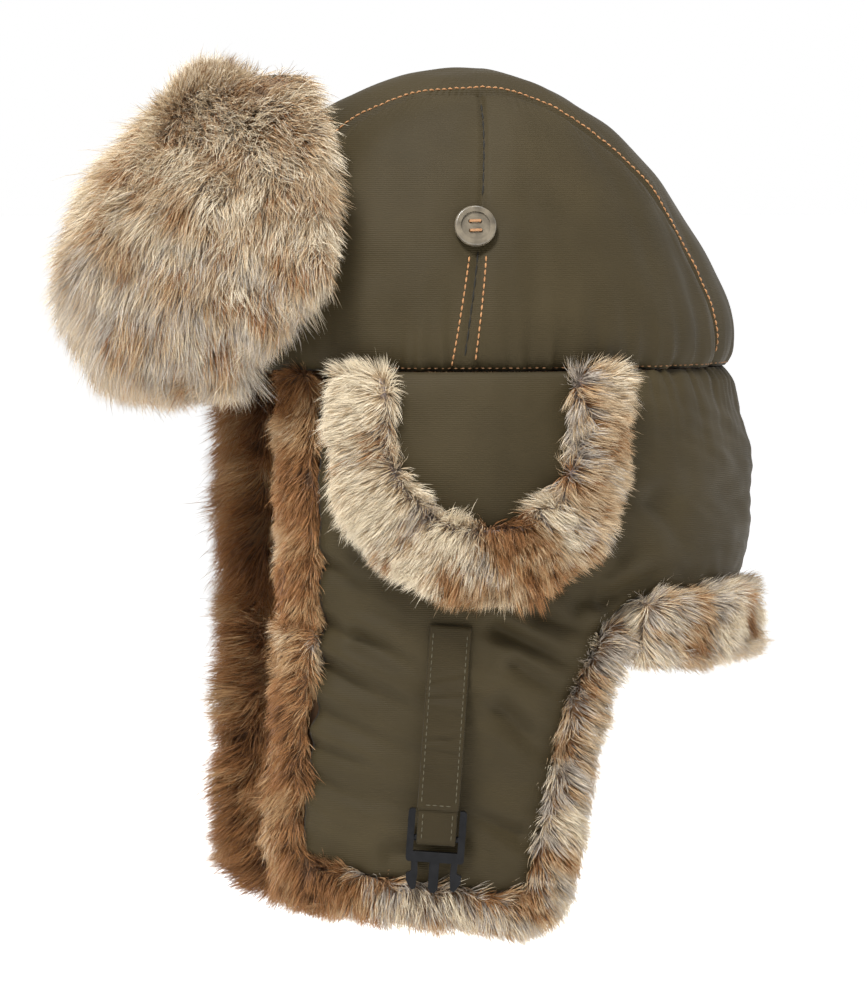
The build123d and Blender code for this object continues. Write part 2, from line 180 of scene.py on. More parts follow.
def bump(tree, source, strength, distance):
    """A bump from a texture's height."""
    node = tree.nodes.new("ShaderNodeBump")
    node.inputs["Strength"].default_value = strength
    node.inputs["Distance"].default_value = distance
    tree.links.new(source.outputs["Fac"], node.inputs["Height"])
    return node


def mottled(tree, shader, dark, light, scale, detail=6.0):
    """Colour that drifts between two tones; gives back the coordinates for the other textures."""
    coords = tree.nodes.new("ShaderNodeTexCoord")
    drift = texture(tree, coords, "ShaderNodeTexNoise", scale, detail)
    ramp = tree.nodes.new("ShaderNodeValToRGB")
    for stop, position, colour in zip(ramp.color_ramp.elements, (0.32, 0.68), (dark, light)):
        stop.position = position
        stop.color = (*colour, 1)
    tree.links.new(drift.outputs["Fac"], ramp.inputs["Fac"])
    tree.links.new(ramp.outputs["Color"], shader.inputs["Base Color"])
    return coords


def ribbed_cloth(name, dark, light, rib=0.9 * MM):
    """Nylon with a fine level rib, uneven threads and a soft sheen."""
    material, tree, shader = principled(name, roughness=0.62, sheen=0.04, specular=0.13)
    shader.inputs["Sheen Roughness"].default_value = 0.4
    coords = mottled(tree, shader, dark, light, scale=26, detail=2.0)
    ribs = texture(tree, coords, "ShaderNodeTexWave", 2 * math.pi / rib / 20, 2.0)
    ribs.bands_direction = "Z"
    ribs.inputs["Distortion"].default_value = 1.6
    slubs = texture(tree, coords, "ShaderNodeTexNoise", 900, 3.0)
    rib_bump = bump(tree, ribs, 0.35, 0.25 * MM)
    slub_bump = bump(tree, slubs, 0.2, 0.2 * MM)
    tree.links.new(rib_bump.outputs["Normal"], slub_bump.inputs["Normal"])
    tree.links.new(slub_bump.outputs["Normal"], shader.inputs["Normal"])
    return material


def grained(name, dark, light, scale, roughness, bump_scale, depth=0.2 * MM, **kind):
    """A mottled material with a fine bump, for horn, plastic, skin, lining, thread and the painted seam
    shadow.
    """
    material, tree, shader = principled(name, roughness, **kind)
    coords = mottled(tree, shader, dark, light, scale)
    grain = bump(tree, texture(tree, coords, "ShaderNodeTexNoise", bump_scale, 4.0), 0.35, depth)
    tree.links.new(grain.outputs["Normal"], shader.inputs["Normal"])
    return material


HAIR_SHADE = 0.87


def hair(name, colour):
    """One tone of fur, shaded a little; a strand takes three tones from root to tip."""
    material, _, shader = principled(name, roughness=0.5, sheen=0.05, specular=0.22)
    shader.inputs["Base Color"].default_value = (*(HAIR_SHADE * part for part in colour), 1)
    return material


OLIVE = ribbed_cloth("olive_nylon", (0.0345, 0.0255, 0.0110), (0.0425, 0.0315, 0.0138))
STRAP_OLIVE = ribbed_cloth("olive_strap_nylon", (0.0250, 0.0178, 0.0068), (0.0310, 0.0222, 0.0086))
LINING = grained("quilted_lining", (0.04, 0.033, 0.022), (0.065, 0.054, 0.036), 40, 0.7, 800)
ORANGE_THREAD = grained("orange_thread", (0.30, 0.13, 0.045), (0.46, 0.23, 0.09), 900, 0.6, 3000)
OLIVE_THREAD = grained("olive_thread", (0.055, 0.047, 0.024), (0.10, 0.086, 0.048), 900, 0.6, 3000)
BUTTON_THREAD = grained("button_thread", (0.22, 0.10, 0.035), (0.34, 0.17, 0.07), 900, 0.6, 3000)
# Near-black painted shadow, laid in the grooves of the crown's side seams.
SEAM_SHADE = grained("seam_shade", (0.006, 0.005, 0.003), (0.012, 0.010, 0.006), 900, 0.8, 3000)
HORN = grained("button_horn", (0.070, 0.058, 0.040), (0.195, 0.162, 0.114), 140, 0.3, 500, coat=0.3)
BUCKLE = grained("buckle_acetal", (0.003, 0.003, 0.0035), (0.007, 0.007, 0.008), 200, 0.42, 1500,
                 specular=0.14)
HOOK_TAPE = grained("hook_tape", (0.008, 0.008, 0.008), (0.02, 0.02, 0.018), 700, 0.85, 1800,
                    depth=0.8 * MM)
PELT_BROWN = grained("pelt_brown", (0.07, 0.032, 0.012), (0.15, 0.08, 0.035), 90, 0.9, 700)
PELT_TAN = grained("pelt_tan", (0.13, 0.08, 0.045), (0.24, 0.165, 0.10), 90, 0.9, 700)
PELT_GREY = grained("pelt_grey", (0.16, 0.125, 0.12), (0.27, 0.22, 0.205), 90, 0.85, 700)

TONES = (
    ("fur_umber", (0.075, 0.034, 0.013)),
    ("fur_chestnut", (0.185, 0.080, 0.027)),
    ("fur_ginger", (0.325, 0.150, 0.053)),
    ("fur_fawn", (0.45, 0.275, 0.130)),
    ("fur_tan", (0.56, 0.40, 0.235)),
    ("fur_sand", (0.66, 0.52, 0.345)),
    ("fur_cream", (0.84, 0.735, 0.555)),
    ("fur_slate", (0.17, 0.135, 0.110)),
    ("fur_ash", (0.34, 0.285, 0.230)),
    ("fur_smoke", (0.50, 0.435, 0.360)),
    ("fur_silver", (0.66, 0.600, 0.520)),
)
HAIRS = [hair(name, colour) for name, colour in TONES]
UMBER, CHESTNUT, GINGER, FAWN, TAN, SAND, CREAM, SLATE, ASH, SMOKE, SILVER = range(len(TONES))


# ---- the hat's curved faces -------------------------------------------------------------------
CROWN_HEIGHT = 135 * MM
CROWN_THICK = 6.4 * MM
LINING_DEPTH = 8.6 * MM
LINING_THICK = 0.8 * MM
SIDE_THICK = 8.0 * MM
COVER_THICK = 1.2 * MM
CROWN_SIZES = (93 * MM, 113.5 * MM, 122 * MM)
CROWN_POWERS = (2.1, 1.75, 2.3)
SKIRT_HEIGHTS = np.array((12, -50, -112, -265)) * MM
SKIRT_HALF_WIDTHS = np.polyfit(SKIRT_HEIGHTS, np.array((94, 100, 100, 94)) * MM, 3)
SKIRT_BACKS = np.polyfit(SKIRT_HEIGHTS, np.array((112.5, 118, 118, 110)) * MM, 3)
SKIRT_FRONTS = np.polyfit(SKIRT_HEIGHTS, np.array((121, 125, 126, 125)) * MM, 3)
STRIP_HALF = 37 * MM
STRIP_TAPER = 0.08
SIDE_SEAM_FOOT = -28.5 * MM
SIDE_SEAM_LEAN = 19.5 / 124
BUTTON_SEAT = Vector((82.6, -21, 64)) * MM


def crown_sizes(level, inset=0.0):
    """Half width, back and front reach of the crown at a share of its height."""
    level = min(max(level, 0.0), 0.99999)
    return [(size - inset) * (1 - level ** power) ** (1 / power)
            for size, power in zip(CROWN_SIZES, CROWN_POWERS)]


def crown_point(angle, level, inset=0.0):
    """A point on the crown: angle from +X round to +Y, and share of the height."""
    half, back, front = crown_sizes(level, inset)
    return Vector((half * math.cos(angle),
                   (back - front) / 2 + (back + front) / 2 * math.sin(angle),
                   level * (CROWN_HEIGHT - inset)))


def skirt_sizes(z):
    """Half width, half length and middle of the skirt's level oval."""
    half = np.polyval(SKIRT_HALF_WIDTHS, z)
    back = np.polyval(SKIRT_BACKS, z)
    front = np.polyval(SKIRT_FRONTS, z)
    return half, (back + front) / 2, (back - front) / 2


def skirt_side(y, z, inset=0.0):
    """The point of the skirt's left face at a given y and z, and its outward direction."""
    half, length, middle = skirt_sizes(z)
    share = min(max((y - middle) / length, -0.9999), 0.9999)
    x = half * math.sqrt(1 - share * share)
    out = Vector((x / half ** 2, (y - middle) / length ** 2, 0)).normalized()
    return Vector((x, y, z)) - out * inset, out


def skirt_round(angle, z, inset=0.0):
    """The point of the skirt's face at an angle from +X, and its outward direction."""
    half, length, middle = skirt_sizes(z)
    point = Vector((half * math.cos(angle), middle + length * math.sin(angle), z))
    out = Vector((math.cos(angle) / half, math.sin(angle) / length, 0)).normalized()
    return point - out * inset, out


def dip(distance, width):
    """A smooth groove, one at its middle and falling to nothing."""
    return math.exp(-(distance / width) ** 2)


def cloud(point, scale, seed=0.0):
    """Smooth noise between about minus one and one."""
    return noise.noise(Vector((point[0] * scale + seed, point[1] * scale, point[2] * scale)))


def ripple(along, z, around, upward, seed):
    """Smooth noise round the hat, with its own fineness round and up."""
    return noise.noise(Vector((along * around, z * upward, seed)))


# ---- mesh helpers -----------------------------------------------------------------------------
def new_object(name, mesh, materials):
    """Link a mesh with its materials, smooth shaded."""
    piece = bpy.data.objects.new(name, mesh)
    bpy.context.scene.collection.objects.link(piece)
    for material in materials:
        mesh.materials.append(material)
    mesh.polygons.foreach_set("use_smooth", np.ones(len(mesh.polygons), bool))
    mesh.update()
    return piece


def grid_mesh(name, rows, closed=False):
    """Quads between rows of points, joined round if closed."""
    mesh = bpy.data.meshes.new(name)
    count = len(rows[0])
    points = [point for row in rows for point in row]
    faces = []
    for r in range(len(rows) - 1):
        for c in range(count if closed else count - 1):
            d = (c + 1) % count
            faces.append((r * count + c, r * count + d, (r + 1) * count + d, (r + 1) * count + c))
    mesh.from_pydata(points, [], faces)
    return mesh


def thicken(mesh, depth):
    """Make a sheet a closed form by giving it depth on its inner side."""
    work = bmesh.new()
    work.from_mesh(mesh)
    bmesh.ops.recalc_face_normals(work, faces=work.faces)
    outward = sum(face.normal.xy.dot(face.calc_center_median().xy) for face in work.faces)
    if outward < 0:
        bmesh.ops.reverse_faces(work, faces=work.faces)
    bmesh.ops.solidify(work, geom=work.faces[:], thickness=depth)
    bmesh.ops.recalc_face_normals(work, faces=work.faces)
    work.to_mesh(mesh)
    work.free()
    return mesh


def inside(points, outline):
    """Which 2-D points lie inside a closed outline."""
    x, y = points[:, 0], points[:, 1]
    result = np.zeros(len(points), bool)
    for (ax, ay), (bx, by) in zip(outline, outline[1:] + outline[:1]):
        if ay != by:
            result ^= ((ay > y) != (by > y)) & (x < (bx - ax) * (y - ay) / (by - ay) + ax)
    return result


def edge_distance(points, line):
    """Distance from each 2-D point to a line of points."""
    best = np.full(len(points), 1e9)
    for a, b in zip(line, line[1:]):
        a, b = np.array(a), np.array(b)
        run = b - a
        share = np.clip(((points - a) @ run) / max(run @ run, 1e-12), 0, 1)
        best = np.minimum(best, np.linalg.norm(points - (a + share[:, None] * run), axis=1))
    return best


def spaced(outline, step):
    """A closed outline with its points evenly spaced."""
    points = []
    for a, b in zip(outline, outline[1:] + outline[:1]):
        a, b = Vector(a), Vector(b)
        parts = max(int((b - a).length / step), 1)
        points += [tuple(a.lerp(b, k / parts)) for k in range(parts) if (b - a).length > 0.01 * MM]
    return points


def rounded(corners, radii):
    """A closed outline with its corners rounded."""
    outline = []
    count = len(corners)
    for index, (corner, radius) in enumerate(zip(corners, radii, strict=True)):
        here = Vector(corner)
        before = Vector(corners[index - 1]) - here
        after = Vector(corners[(index + 1) % count]) - here
        reach = min(radius, before.length * 0.45, after.length * 0.45)
        start, end = here + before.normalized() * reach, here + after.normalized() * reach
        for k in range(7):
            t = k / 6
            outline.append((1 - t) ** 2 * start + 2 * t * (1 - t) * here + t * t * end)
    return outline


PATCH_SPACING = 1.7 * MM


def patch(name, outline, place, spacing, free_edge=None):
    """A sheet inside a flat outline; place(across, z, distance to the free edge) gives each point."""
    closed = outline + outline[:1]
    low, high = np.min(outline, axis=0), np.max(outline, axis=0)
    inner = np.array([(y, z)
                      for row, z in enumerate(np.arange(low[1], high[1], spacing * 0.87))
                      for y in np.arange(low[0] + (row % 2) * spacing / 2, high[0], spacing)])
    inner = inner[inside(inner, outline)]
    inner = inner[edge_distance(inner, closed) > spacing * 0.55]
    flat = [Vector(p) for p in outline] + [Vector(p) for p in inner]
    edges = [(k, (k + 1) % len(outline)) for k in range(len(outline))]
    points, _, faces, _, _, _ = geometry.delaunay_2d_cdt(flat, edges, [], 1, 1e-7)
    points = np.array([tuple(p) for p in points])
    distances = edge_distance(points, free_edge or closed)
    mesh = bpy.data.meshes.new(name)
    mesh.from_pydata([place(float(y), float(z), d) for (y, z), d in zip(points, distances)], [],
                     faces)
    return mesh


def mirrored(mesh):
    """The same mesh for the wearer's right."""
    copy = mesh.copy()
    points = np.empty(len(copy.vertices) * 3)
    copy.vertices.foreach_get("co", points)
    points[0::3] *= -1
    copy.vertices.foreach_set("co", points)
    copy.flip_normals()
    return copy


def declare(piece, moves, replaced=()):
    """Attach a piece to the body it moves with, or only bake its transform when given a blend's terms, and
    hide the CAD parts it replaces.
    """
    if replaced:
        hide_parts(*replaced)
    if isinstance(moves, str):
        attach(piece, moves)
    else:
        still, moving, start, end = moves
        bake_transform(piece)
        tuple(start)
        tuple(end)


# ---- crown ------------------------------------------------------------------------------------
def side_seam_y(z):
    """Where the seam between a front and a rear side panel lies."""
    return SIDE_SEAM_FOOT + SIDE_SEAM_LEAN * z


def crown_relief(p):
    """How far the padded crown stands out of its plain face."""
    off_strip = abs(p.x) - STRIP_HALF - STRIP_TAPER * p.y
    along = math.atan2(p.y, abs(p.x))
    gather = math.exp(-p.z / (12 * MM))
    back = max(p.y, 0) / (110 * MM)
    soft = 1.4 * MM * (1 - dip(off_strip, 16 * MM)) + (1.2 + 3.2 * back) * MM * dip(p.z - 20 * MM, 26 * MM)
    soft += 2.0 * MM * cloud((abs(p.x), p.y, p.z * 0.6), 22) + 1.0 * MM * cloud(p, 52, 3)
    soft += 3.2 * MM * gather * ripple(along, p.z, 15, 12, 2)
    soft += 1.2 * MM * gather * ripple(along, p.z, 37, 20, 4)
    soft += 2.4 * MM * math.exp(-p.z / (40 * MM)) * ripple(along, p.z, 9, 16, 7)
    soft += 0.6 * MM * dip(off_strip, 9 * MM) * ripple(along, p.z, 40, 90, 5)
    relief = soft * (1 - dip((Vector((abs(p.x), p.y, p.z)) - BUTTON_SEAT).length, 13 * MM))
    relief -= 1.9 * MM * dip(off_strip, 1.8 * MM)
    if off_strip > -1 * MM:
        off_seam = p.y - side_seam_y(p.z)
        relief -= 1.3 * MM * dip(off_seam, 1.5 * MM) + 1.0 * MM * dip(off_seam, 9 * MM)
    return relief - 4.4 * MM * math.exp(-p.z / (4.0 * MM))


def crown_skin(name, inset, relief, columns, levels, turn=1.0):
    """A dome in level rings, with its tip closed by a small fan."""
    rows = []
    for r in range(levels):
        level = math.sin(math.pi / 2 * (r / levels) ** 0.94)
        row = []
        for c in range(columns):
            angle = 2 * math.pi * c / columns
            p = crown_point(angle, level, inset)
            out = (p - Vector((0, p.y * 0.15, p.z * 0.35))).normalized()
            row.append(p + out * relief(p) * turn)
        rows.append(row)
    mesh = grid_mesh(name, rows, closed=True)
    work = bmesh.new()
    work.from_mesh(mesh)
    rim = [e for e in work.edges if e.is_boundary and e.verts[0].co.z > CROWN_HEIGHT * 0.8]
    bmesh.ops.contextual_create(work, geom=rim)
    tops = [f for f in work.faces if len(f.verts) > 4]
    bmesh.ops.poke(work, faces=tops)
    work.to_mesh(mesh)
    work.free()
    return mesh


def make_crown():
    """Outer padded dome and the quilted lining inside it."""
    skin = thicken(crown_skin("crown_fabric", 0.5 * MM, crown_relief, 460, 150), CROWN_THICK)
    crown = new_object("crown_fabric", skin, [OLIVE])
    panels = [f"crown_side_{end}_panel_{side}" for end in ("front", "rear") for side, _ in SIDES]
    declare(crown, "hat", ["crown_center_panel", *panels, "crown_wadding"])

    def quilting(p):
        angle = math.atan2(p.y, p.x)
        return 1.6 * MM * abs(math.sin(angle * 9)) + 0.8 * MM * cloud(p, 40)

    inner = crown_skin("crown_lining_cloth", LINING_DEPTH, quilting, 240, 60, turn=-1)
    inner = thicken(inner, LINING_THICK)
    lining = new_object("crown_lining_cloth", inner, [LINING])
    declare(lining, "hat", ["crown_lining"])
    return crown


# ---- stitching --------------------------------------------------------------------------------
# A plain ellipsoid near the crown gives the way out of its face.
CROWN_ROUND = (93 * MM, 118 * MM, 135 * MM)
CROWN_MIDDLE = -4 * MM
STRIP_STITCH_INSET = 2.6 * MM
SIDE_SEAM_RUNS = {"above": (121 * MM, 75.5 * MM), "below": (54 * MM, 2 * MM)}


def stitches(name, path, material, body, length=2.5 * MM, gap=1.0 * MM, radius=0.42 * MM):
    """A row of short rounded stitches along a list of (point, outward) pairs."""
    spans = [0.0]
    for (a, _), (b, _) in zip(path, path[1:]):
        spans.append(spans[-1] + (b - a).length)
    total = spans[-1]
    points, faces = [], []
    sides, rings = 6, 5

    def at(s):
        k = min(max(int(np.searchsorted(spans, s)) - 1, 0), len(path) - 2)
        t = (s - spans[k]) / max(spans[k + 1] - spans[k], 1e-9)
        return path[k][0].lerp(path[k + 1][0], t), path[k][1].lerp(path[k + 1][1], t).normalized()

    start = gap
    while start + length < total:
        base = len(points)
        for r in range(rings):
            t = r / (rings - 1)
            centre, out = at(start + t * length)
            ahead = (at(min(start + t * length + 0.3 * MM, total))[0] - centre).normalized()
            across = ahead.cross(out).normalized()
            girth = radius * math.sin(math.pi * (0.12 + 0.76 * t))
            lift = radius * (0.75 * math.sin(math.pi * t) - 0.15)
            for k in range(sides):
                turn = 2 * math.pi * k / sides
                points.append(centre + out * (lift + girth * math.cos(turn))
                              + across * girth * math.sin(turn))
        for r in range(rings - 1):
            for k in range(sides):
                n = (k + 1) % sides
                faces.append((base + r * sides + k, base + r * sides + n,
                              base + (r + 1) * sides + n, base + (r + 1) * sides + k))
        faces.append(tuple(base + k for k in reversed(range(sides))))
        faces.append(tuple(base + (rings - 1) * sides + k for k in range(sides)))
        start += length + gap
    mesh = bpy.data.meshes.new(name)
    mesh.from_pydata(points, [], faces)
    piece = new_object(name, mesh, [material])
    declare(piece, body)


def surface_tree(piece):
    """A search tree over a piece, to set things on its real surface."""
    return BVHTree.FromObject(piece, bpy.context.evaluated_depsgraph_get())


def seat_on(tree, point, towards):
    """The point of a surface under a guide point, seen along a direction."""
    hit, normal, _, _ = tree.ray_cast(point + towards * 0.03, -towards)
    if hit is None:
        hit, normal, _, _ = tree.find_nearest(point)
    if normal.dot(towards) < 0:
        normal = -normal
    return hit, normal


def over_crown(x, y, level):
    """Below one where (x, y) lies inside the crown's oval at a level."""
    half, back, front = crown_sizes(level)
    return (x / half) ** 2 + ((y - (back - front) / 2) / ((back + front) / 2)) ** 2


def crown_top_at(x, y, side):
    """The point of the crown's plain face over (x, y), by halving."""
    low, high = 0.0, 0.999
    for _ in range(26):
        level = (low + high) / 2
        low, high = (level, high) if over_crown(x, y, level) < 1 else (low, level)
    return Vector((x * side, y, low * CROWN_HEIGHT))


def crown_side_at(y, z, side):
    """The point of the crown's plain face beside (y, z)."""
    half, back, front = crown_sizes(z / CROWN_HEIGHT)
    share = (y - (back - front) / 2) / ((back + front) / 2)
    return Vector((side * half * math.sqrt(max(1 - share * share, 0)), y, z))


def crown_row(tree, places):
    """Seat each place on the crown's real surface."""
    half, length, height = CROWN_ROUND
    guide = []
    for p in places:
        out = Vector((p.x / half ** 2, (p.y - CROWN_MIDDLE) / length ** 2, p.z / height ** 2))
        guide.append(seat_on(tree, p, out.normalized()))
    return guide


def stitch_crown(crown):
    """Topstitching beside the centre strip, beside the side seams and over the brow seam, and a near-black
    row of painted shadow along each side seam.
    """
    tree = surface_tree(crown)
    for label, side in SIDES:
        strip = [(STRIP_HALF + STRIP_TAPER * y - STRIP_STITCH_INSET, y)
                 for y in np.linspace(-116 * MM, 106 * MM, 500)]
        guide = crown_row(tree, [crown_top_at(x, y, side) for x, y in strip
                                 if over_crown(x, y, 0.025) < 0.9999])
        stitches(f"strip_topstitch_{label}", guide, ORANGE_THREAD, "hat", gap=0.5 * MM,
                 radius=0.46 * MM)
        for part, (top, foot) in SIDE_SEAM_RUNS.items():
            guide = crown_row(tree, [crown_side_at(side_seam_y(z), z, side)
                                     for z in np.linspace(top, foot, 60)])
            # These near-black rows are painted shadow in the side seam's groove, not thread.
            stitches(f"side_seam_{part}_{label}", guide, SEAM_SHADE, "hat", length=6 * MM, gap=0.0,
                     radius=0.42 * MM)
        for offset, row in ((-5 * MM, "front"), (5 * MM, "rear")):
            guide = crown_row(tree, [
                crown_side_at(side_seam_y(z) + offset * (0.75 + 0.25 * (52 * MM - z) / (50 * MM)), z, side)
                for z in np.linspace(52 * MM, 2.5 * MM, 40)])
            stitches(f"side_topstitch_{row}_{label}", guide, ORANGE_THREAD, "hat", gap=0.7 * MM,
                     radius=0.46 * MM)
    guide = []
    for angle in np.linspace(-0.75, math.pi + 0.75, 260):
        p = crown_point(angle, 1.5 * MM / CROWN_HEIGHT)
        guide.append(seat_on(tree, p, Vector((p.x, p.y, 0)).normalized()))
    stitches("brow_stitching", guide, BUTTON_THREAD, "hat", length=1.8 * MM, gap=1.4 * MM,
             radius=0.26 * MM)


# ---- band and ear flap fabric -----------------------------------------------------------------
# Each half is one padded piece, laid out flat in (arc, z): arc is the angle from +X times ARC_RADIUS.
ARC_RADIUS = 108 * MM
BAND_TOP = -0.2 * MM
FRONT_TOP = (-90.5 * MM, -0.2 * MM)
FLAP_EDGE = ((-91.0, -113), (-98, -221), (2.5, -235.5), (20, -148), (37, -115), (51, -102.6))
FLAP_RADII = (30, 14, 10, 40, 16, 8)
NECK_EDGE = -102.6 * MM
BACK_ARC = ARC_RADIUS * math.pi / 2


def arc_of(y, z):
    """How far round the skirt a given y lies at height z."""
    _, length, middle = skirt_sizes(z)
    return ARC_RADIUS * math.asin(min(max((y - middle) / length, -1), 1))


def half_outline():
    """Outline of one half: brow, back seam, neck edge, ear flap and front edge."""
    corners = [(arc_of(*FRONT_TOP), BAND_TOP)]
    corners += [(arc_of(y * MM, z * MM), z * MM) for y, z in FLAP_EDGE]
    corners += [(BACK_ARC, NECK_EDGE), (BACK_ARC, BAND_TOP)]
    radii = [0.2 * MM] + [r * MM for r in FLAP_RADII] + [0.2 * MM] * 2
    return spaced(rounded(corners, radii), 1.5 * MM)


def skirt_wrinkles(p):
    """Slow waves and fine creases of the padded skirt."""
    along = math.atan2(p.y, abs(p.x))
    waves = 2.4 * MM * cloud((abs(p.x), p.y, p.z), 17, 9)
    waves += 1.9 * MM * cloud((abs(p.x), p.y * 0.6, p.z * 1.9 + p.y * 0.7), 36, 4)
    waves += 0.8 * MM * cloud((abs(p.x), p.y * 0.6, p.z * 2.2 + p.y * 0.9), 80, 14)
    pinch = math.exp(p.z / (15 * MM))
    waves -= 4.6 * MM * math.exp(p.z / (4.2 * MM))
    waves += 2.8 * MM * pinch * ripple(along, p.z, 16, 12, 11)
    waves += 1.6 * MM * pinch * ripple(along, p.z, 38, 20, 13)
    back = max(p.y, 0) / (110 * MM)
    waves += 5.6 * MM * back * math.exp(-((p.z + 56 * MM) / (46 * MM)) ** 4)
    return waves


CREASES = (
    ((-94, -112), (-30, -142), 4.6, 4.0), ((-97, -128), (-44, -154), 4.8, 3.8),
    ((-98, -150), (-50, -172), 4.6, 3.2), ((-14, -114), (28, -137), 4.2, 3.8),
    ((-6, -130), (22, -148), 3.8, 3.2), ((36, -102), (72, -86), 4.2, 3.6),
    ((24, -104), (50, -76), 5.0, 3.0), ((-74, -118), (-44, -132), 3.4, 2.4),
    ((-12, -150), (16, -180), 4.8, 2.8), ((-94, -184), (-48, -198), 4.8, 2.8),
    ((4, -108), (40, -121), 3.6, 2.6), ((-92, -86), (-60, -102), 4.2, 2.6),
    ((60, -58), (86, -96), 5.6, 2.6), ((-60, -216), (-18, -206), 4.6, 2.2),
    ((-92, -168), (-66, -178), 3.6, 2.2), ((-4, -206), (-30, -196), 4.2, 2.2),
)


def crease_depth(y, z):
    """Depth of the pulled creases that run in from the flap's edges."""
    depth = 0.0
    for start, end, width, amount in CREASES:
        ay, az, by, bz = (v * MM for v in (*start, *end))
        run_y, run_z = by - ay, bz - az
        share = ((y - ay) * run_y + (z - az) * run_z) / (run_y ** 2 + run_z ** 2)
        share = min(max(share, 0.0), 1.0)
        off = math.hypot(y - ay - run_y * share, z - az - run_z * share)
        if off > 26 * MM:
            continue
        fade = math.cos(math.pi / 2 * share) ** 1.5
        depth += amount * MM * dip(off, width * MM * (1 - 0.35 * share)) * fade
        depth -= 0.5 * amount * MM * dip(off - 1.9 * width * MM, 1.2 * width * MM) * fade
    return depth


BEND_SIDE = 0.1


def hinge_bend(body, sign, start, end):
    """A blend from the hat to a body over a stretch of height on one side."""
    return "hat", body, (sign * BEND_SIDE, 0, start), (sign * BEND_SIDE, 0, end)


def make_side_fabric():
    """Padded fabric of each half: the band and the ear flap as one piece."""
    outline = half_outline()
    edge = [p for p in outline if p[1] < BAND_TOP - 0.5 * MM and p[0] < BACK_ARC - 0.5 * MM]
    edge = [outline[0]] + edge + [(BACK_ARC, NECK_EDGE)]

    def place(arc, z, distance):
        base, out = skirt_round(arc / ARC_RADIUS, z)
        relief = skirt_wrinkles(base) - crease_depth(base.y, z)
        under = (1 - rise(abs(base.y + 21 * MM), 38 * MM, 50 * MM)) * rise(z, -82 * MM, -68 * MM)
        relief *= 1 - (0.85 * under if relief > 0 else 0.4 * under)
        relief *= 1 - dip(math.hypot(base.y + 36 * MM, z + 118 * MM), 13 * MM)
        relief -= 5.0 * MM * math.exp(-distance / (4.5 * MM))
        relief += 1.8 * MM * math.exp(-distance / (11 * MM)) * cloud((arc, z, 0.3), 110)
        relief -= 1.3 * MM * dip(BACK_ARC - arc, 2.2 * MM)
        point = base + out * relief
        point.x = max(point.x, 0.0)
        return point

    left = thicken(patch("side_fabric_left", outline, place, PATCH_SPACING, edge), SIDE_THICK)
    meshes = {1: left, -1: mirrored(left)}
    for side, sign in SIDES:
        piece = new_object(f"side_fabric_{side}", meshes[sign], [OLIVE])
        declare(piece, hinge_bend(f"ear_flap_{side}", sign, -102 * MM, -132 * MM),
                ["band_shell", "band_wadding", f"ear_flap_shell_{side}", f"ear_flap_wadding_{side}"])


# ---- pelts and fur ----------------------------------------------------------------------------
def vertex_arrays(mesh):
    """A mesh's points and normals."""
    points, normals = np.empty(len(mesh.vertices) * 3), np.empty(len(mesh.vertices) * 3)
    mesh.vertices.foreach_get("co", points)
    mesh.vertices.foreach_get("normal", normals)
    return points.reshape(-1, 3), normals.reshape(-1, 3)


def pelt(name, sources, material, shrink, moves, voxel=2.6 * MM, lumps=1.5 * MM):
    """A rounded, lumpy pelt in the space of the CAD nodes that it replaces, as one closed mesh."""
    work = bmesh.new()
    for source in sources:
        work.from_mesh(nodes[source].data)
    mesh = bpy.data.meshes.new(name)
    work.to_mesh(mesh)
    work.free()
    piece = new_object(name, mesh, [material])
    remesh = piece.modifiers.new("remesh", "REMESH")
    remesh.mode = "VOXEL"
    remesh.voxel_size = voxel
    smooth = piece.modifiers.new("smooth", "SMOOTH")
    smooth.factor = 0.6
    smooth.iterations = 9
    shaped = bpy.data.meshes.new_from_object(piece.evaluated_get(bpy.context.evaluated_depsgraph_get()))
    piece.modifiers.clear()
    points, normals = vertex_arrays(shaped)
    waves = np.array([cloud(p, 45) for p in points])
    points += normals * (lumps * waves - shrink)[:, None]
    shaped.vertices.foreach_set("co", points.ravel())
    shaped.name = name
    shaped.materials.clear()
    shaped.materials.append(material)
    shaped.polygons.foreach_set("use_smooth", np.ones(len(shaped.polygons), bool))
    shaped.update()
    piece.data = shaped
    declare(piece, moves, sources)
    return piece


# The fur's tips stay inside the CAD box with this much room on each side.
box_low, box_high = (np.array(corner) for corner in cad_box)
tip_room = 0.03 * (box_high - box_low) + 8 * MM
TIP_LOW, TIP_HIGH = box_low - tip_room, box_high + tip_room


def sample_surface(piece, count, rng, keep):
    """Random points and normals over a piece, where keep(points, normals) allows."""
    mesh = piece.data
    mesh.calc_loop_triangles()
    corners = np.empty(len(mesh.loop_triangles) * 3, np.int32)
    mesh.loop_triangles.foreach_get("vertices", corners)
    corners = corners.reshape(-1, 3)
    points, normals = vertex_arrays(mesh)
    a, b, c = (points[corners[:, k]] for k in range(3))
    middle_normal = normals[corners].mean(axis=1)
    area = np.linalg.norm(np.cross(b - a, c - a), axis=1)
    area = area * keep((a + b + c) / 3, middle_normal)
    chosen = rng.choice(len(area), size=count, p=area / area.sum())
    u, v = rng.random(count), rng.random(count)
    flip = u + v > 1
    u[flip], v[flip] = 1 - u[flip], 1 - v[flip]
    spot = a[chosen] + (b - a)[chosen] * u[:, None] + (c - a)[chosen] * v[:, None]
    normal = middle_normal[chosen]
    return spot, normal / np.linalg.norm(normal, axis=1)[:, None]


def unit(vectors):
    """Vectors at length one."""
    return vectors / np.maximum(np.linalg.norm(vectors, axis=-1, keepdims=True), 1e-9)


def smooth_noise(points, scale, seed):
    """Three noise values for each point, for bending strands together."""
    return np.array([noise.noise_vector(Vector(p) * scale + Vector((seed, seed, seed)))
                     for p in points])


